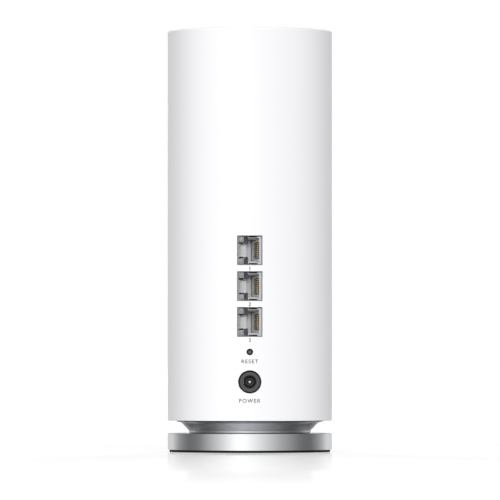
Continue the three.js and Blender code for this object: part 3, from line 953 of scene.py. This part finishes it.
class MakeLightGuide(bpy.types.Operator):
    """Makes the light guide that carries the status lamp's glow to the front of the tube"""

    bl_idname = "wifi_node.make_light_guide"
    bl_label = "Light Guide"
    bl_options = {"REGISTER", "UNDO"}

    def execute(self, context):
        low, high = millimetres("light_guide")
        radius = (high.z - low.z) / 2
        level = (high.z + low.z) / 2
        start = high.x - radius
        route = bpy.data.curves.new("light_guide_route", "CURVE")
        route.dimensions = "3D"
        route.bevel_depth = radius
        route.bevel_resolution = 6
        route.use_fill_caps = True
        line = route.splines.new("NURBS")
        step = 3
        points = [
            (start, low.y), (start, low.y + step), (start * 0.75, low.y + 2 * step),
            (0, high.y - 2 * step), (0, high.y - step), (0, high.y),
        ]
        line.points.add(len(points) - 1)
        for point, (x, y) in zip(line.points, points):
            point.co = (x, y, level, 1)
        line.order_u = 4
        line.use_endpoint_u = True
        finish_piece("light_pipe", settle(mesh_of(route)), "clear_lens", replaced=["light_guide"])
        return {"FINISHED"}


def mesh_of(curve):
    """The shape of a curve or a text, as a bmesh in its own units."""
    holder = bpy.data.objects.new("holder", curve)
    bpy.context.scene.collection.objects.link(holder)
    bpy.context.view_layer.update()
    mesh = bpy.data.meshes.new_from_object(holder.evaluated_get(bpy.context.evaluated_depsgraph_get()))
    bpy.data.objects.remove(holder)
    shape = bmesh.new()
    shape.from_mesh(mesh)
    bpy.data.meshes.remove(mesh)
    bmesh.ops.remove_doubles(shape, verts=shape.verts[:], dist=1e-4)
    bmesh.ops.recalc_face_normals(shape, faces=shape.faces[:])
    return shape


def print_legend(name, word, level, height, ink):
    """Prints a word on the tube's rear, centred at a level. The letters curve with the wall."""
    text = bpy.data.curves.new(name, "FONT")
    text.body = word
    text.align_x = "CENTER"
    text.align_y = "CENTER"
    text.size = height / 0.73  # the font's capitals are 0.73 of its size
    text.space_character = 1.27
    text.offset = 0.03  # how much the print swells each stroke
    text.extrude = ink / 2
    letters = mesh_of(text)
    wall = millimetres("outer_shell")[1].x
    tops = [vert.co.y for vert in letters.verts]
    sides = [vert.co.x for vert in letters.verts]
    middle = Vector(((min(sides) + max(sides)) / 2, (min(tops) + max(tops)) / 2, 0))
    for vert in letters.verts:
        across, up, out = vert.co - middle
        radius = wall + ink / 2 + out
        vert.co = (across, -math.sqrt(radius**2 - across**2), level + up)
    bmesh.ops.recalc_face_normals(letters, faces=letters.faces[:])
    finish_piece(name, settle(letters), "grey_plastic", "ink")


class MakeLegends(bpy.types.Operator):
    """Prints the sockets' numbers and the two plain words under the reset hole and the power socket"""

    bl_idname = "wifi_node.make_legends"
    bl_label = "Legends"
    bl_options = {"REGISTER", "UNDO"}

    def execute(self, context):
        sizes = context.scene.node_sizes
        height = sizes.legend_height / MM
        ink = sizes.legend_stroke / MM
        numbers = [(str(number), f"socket_{number}_shield", 1.9) for number in SOCKET_NUMBERS]
        words = [("RESET", "reset_button", 3.4), ("POWER", "power_socket_body", 4.3)]
        for word, node, drop in numbers + words:
            level = millimetres(node)[0].z - drop
            print_legend(f"legend_{word.lower()}", word, level, height, ink)
        return {"FINISHED"}


class FinishInside(bpy.types.Operator):
    """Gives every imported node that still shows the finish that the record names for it"""

    bl_idname = "wifi_node.finish_inside"
    bl_label = "Inner Parts"
    bl_options = {"REGISTER", "UNDO"}

    def execute(self, context):
        for part in frame["record"]["subparts"]:
            node = frame["nodes"][part["node"]]
            if not node.hide_render:
                for held in node.material_slots:
                    held.material = finish(part["material_slot"])
        return {"FINISHED"}


# -------------------------------------------------------------------------------------------- stage


def make_floor():
    """A pale, slightly glossy table, whose gloss fades away from what stands on it."""
    shape = bmesh.new()
    bmesh.ops.create_circle(shape, cap_ends=True, segments=96, radius=30)
    mesh = bpy.data.meshes.new("floor")
    shape.to_mesh(mesh)
    shape.free()
    floor = bpy.data.objects.new("floor", mesh)
    bpy.context.scene.collection.objects.link(floor)
    floor.visible_glossy = False
    floor.visible_diffuse = False
    floor.visible_shadow = False
    material = bpy.data.materials.new("table_top_lacquered")
    material.use_nodes = True
    tree = material.node_tree
    tree.nodes.clear()
    place = add_node(tree, "ShaderNodeTexCoord").outputs["Object"]
    away = add_node(tree, "ShaderNodeVectorMath", {0: place}, operation="LENGTH").outputs["Value"]
    mirror = add_node(
        tree, "ShaderNodeMapRange",
        {"Value": away, "From Min": 0.05, "From Max": 1.4, "To Min": 0.42, "To Max": 0.0},
    ).outputs[0]
    matte = add_node(tree, "ShaderNodeBsdfDiffuse", {"Color": (0.52, 0.52, 0.52, 1)}).outputs[0]
    glow = add_node(tree, "ShaderNodeEmission", {"Color": (1, 1, 1, 1), "Strength": 0.58}).outputs[0]
    pale = add_node(tree, "ShaderNodeAddShader", {0: matte, 1: glow}).outputs[0]
    gloss = add_node(tree, "ShaderNodeBsdfGlossy", {"Roughness": 0.035}).outputs[0]
    mixed = add_node(tree, "ShaderNodeMixShader", {0: mirror, 1: pale, 2: gloss}).outputs[0]
    add_node(tree, "ShaderNodeOutputMaterial", {"Surface": mixed})
    mesh.materials.append(material)


def make_surroundings():
    """A ring of cards round the table for the metal to mirror: a tall bright one in front, dark cloth at
    both sides and a grey wall behind, which fades upwards and downwards. A narrow white strip straight
    behind keeps the table pale where it mirrors nothing else. A dim even room does the rest."""
    world = bpy.data.worlds.new("studio")
    bpy.context.scene.world = world
    world.cycles.sampling_method = "NONE"
    world.use_nodes = True
    tree = world.node_tree
    tree.nodes.clear()
    toward = add_node(tree, "ShaderNodeTexCoord").outputs["Generated"]
    split = add_node(tree, "ShaderNodeSeparateXYZ", {0: toward})
    forward = add_node(
        tree, "ShaderNodeMath", {0: split.outputs["Y"], 1: -1.0}, operation="MULTIPLY"
    ).outputs[0]
    angle = add_node(
        tree, "ShaderNodeMath", {0: split.outputs["X"], 1: forward}, operation="ARCTAN2"
    ).outputs[0]
    turn_share = add_node(
        tree, "ShaderNodeMapRange", {"Value": angle, "From Min": -math.pi, "From Max": math.pi}
    ).outputs[0]
    places = [
        (-180, 0.7), (-174, 0.7), (-170, 0.45), (-140, 0.56), (-117, 0.26), (-95, 0.13), (-75, 0.165),
        (-43, 0.52), (-14, 0.97), (14, 0.63), (43, 0.33), (75, 0.133), (95, 0.12), (118, 0.32),
        (138, 0.58), (170, 0.45), (174, 0.7), (180, 0.7),
    ]
    ring = add_node(
        tree, "ShaderNodeValToRGB", {0: turn_share},
        stops=[(0.5 + degrees / 360, grey) for degrees, grey in places],
    ).outputs[0]
    tilt = add_node(tree, "ShaderNodeMath", {0: split.outputs["Z"]}, operation="ABSOLUTE").outputs[0]
    steep = add_node(
        tree, "ShaderNodeMapRange", {"Value": tilt, "From Min": 0.1, "From Max": 0.4}
    ).outputs[0]
    behind = add_node(
        tree, "ShaderNodeMapRange", {"Value": split.outputs["Y"], "From Min": -0.3, "From Max": 0.3}
    ).outputs[0]
    fade = add_node(tree, "ShaderNodeMath", {0: steep, 1: behind}, operation="MULTIPLY").outputs[0]
    level = add_node(
        tree, "ShaderNodeMapRange", {"Value": fade, "To Min": 1.48, "To Max": 0.12}
    ).outputs[0]
    cards = add_node(tree, "ShaderNodeBackground", {"Color": ring, "Strength": level}).outputs[0]
    room = add_node(tree, "ShaderNodeBackground", {"Color": (1, 1, 1, 1), "Strength": 0.1}).outputs[0]
    white = add_node(tree, "ShaderNodeBackground", {"Color": (1, 1, 1, 1), "Strength": 1.0}).outputs[0]
    ray = add_node(tree, "ShaderNodeLightPath")
    lit = add_node(tree, "ShaderNodeMixShader", {0: ray.outputs["Is Glossy Ray"], 1: room, 2: cards})
    mixed = add_node(
        tree, "ShaderNodeMixShader", {0: ray.outputs["Is Camera Ray"], 1: lit.outputs[0], 2: white}
    )
    add_node(tree, "ShaderNodeOutputWorld", {"Surface": mixed.outputs[0]})


def make_lights():
    """Broad soft lights all round: three in front, one at each side, and three behind that keep the far
    side white. An angle round the table counts from the camera, towards the right."""
    for name, around, height, strength in (
        ("front_left", -24, 22, 0.26), ("front", 0, 14, 0.36), ("front_right", 20, 22, 0.38),
        ("side_left", -74, 15, 0.3), ("side_right", 90, 15, 0.26),
        ("rim_left", -155, 25, 0.42), ("rim_right", 160, 25, 0.44), ("back", 180, 12, 0.35),
    ):
        lamp = bpy.data.lights.new(name, "SUN")
        lamp.energy = strength * math.pi / math.cos(math.radians(height))
        lamp.angle = math.radians(24)
        light = bpy.data.objects.new(name, lamp)
        bpy.context.scene.collection.objects.link(light)
        light.rotation_euler = (math.radians(90 - height), 0, math.radians(around))
        light.visible_glossy = False


def make_camera():
    """A long lens far off, just under the reset button's level and tilted up a little."""
    lens = bpy.data.cameras.new("camera")
    lens.lens = 440
    lens.sensor_width = 36
    lens.clip_end = 100
    camera = bpy.data.objects.new("camera", lens)
    bpy.context.scene.collection.objects.link(camera)
    camera.location = (0.0001, -3.35, 0.0496)
    camera.rotation_euler = (math.radians(90 + 1.0427), 0, 0)
    bpy.context.scene.camera = camera


class MakeStage(bpy.types.Operator):
    """Makes the floor, the studio's light and the camera"""

    bl_idname = "wifi_node.make_stage"
    bl_label = "Stage"
    bl_options = {"REGISTER", "UNDO"}

    def execute(self, context):
        make_floor()
        make_surroundings()
        make_lights()
        make_camera()
        context.scene.view_settings.view_transform = "Standard"
        return {"FINISHED"}


# ------------------------------------------------------------------------------------------- add-on


class NodePanel(bpy.types.Panel):
    """Lists the sizes, the colours and the steps of the build"""

    bl_idname = "VIEW3D_PT_wifi_node"
    bl_label = "Wi-Fi Node"
    bl_space_type = "VIEW_3D"
    bl_region_type = "UI"
    bl_category = "Wi-Fi Node"

    def draw(self, context):
        layout = self.layout
        for title, group in (
            ("Sizes", context.scene.node_sizes), ("Colours", context.scene.node_colours),
        ):
            layout.label(text=title)
            for name in group.__annotations__:
                layout.prop(group, name)
        layout.label(text="Build")
        for step in STEPS:
            layout.operator(step.bl_idname)


STEPS = (
    MakeShell, MakeCap, MakeFoot, MakeNetworkSockets, MakePowerSocket, MakeReset, MakeLightGuide,
    MakeLegends, FinishInside, MakeStage,
)
CLASSES = (NodeSizes, NodeColours, *STEPS, NodePanel)


def register():
    for each in CLASSES:
        bpy.utils.register_class(each)
    bpy.types.Scene.node_sizes = bpy.props.PointerProperty(type=NodeSizes)
    bpy.types.Scene.node_colours = bpy.props.PointerProperty(type=NodeColours)


def unregister():
    del bpy.types.Scene.node_colours
    del bpy.types.Scene.node_sizes
    for each in reversed(CLASSES):
        bpy.utils.unregister_class(each)


def main():
    register()
    bpy.ops.wifi_node.make_shell()
    bpy.ops.wifi_node.make_cap()
    bpy.ops.wifi_node.make_foot()
    bpy.ops.wifi_node.make_network_sockets()
    bpy.ops.wifi_node.make_power_socket()
    bpy.ops.wifi_node.make_reset()
    bpy.ops.wifi_node.make_light_guide()
    bpy.ops.wifi_node.make_legends()
    bpy.ops.wifi_node.finish_inside()
    bpy.ops.wifi_node.make_stage()


if __name__ == "__main__":
    main()
